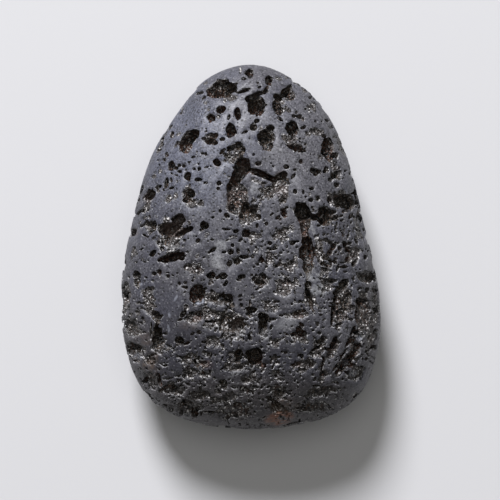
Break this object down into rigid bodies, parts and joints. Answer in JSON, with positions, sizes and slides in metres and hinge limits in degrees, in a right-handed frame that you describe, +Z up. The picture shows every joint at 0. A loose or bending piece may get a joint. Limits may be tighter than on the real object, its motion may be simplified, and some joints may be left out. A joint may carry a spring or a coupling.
{
  "type": "tumbled lava rock",
  "caption": "Egg-shaped tumbled pebble of dark vesicular basalt with a worn flat underside, used as a loose decorative or filler stone.",
  "frame": {"origin": "centre of the footprint's bounding rectangle, on the surface that the stone rests on", "axes": "+Y along the stone's length towards its narrow end, +X across it, +Z up out of its crest"},
  "size_m": [0.0324, 0.0456, 0.0155],
  "materials": {
    "basalt": "satin"
  },
  "bodies": {
    "root": {"lava_rock": "basalt"}
  },
  "joints": []
}
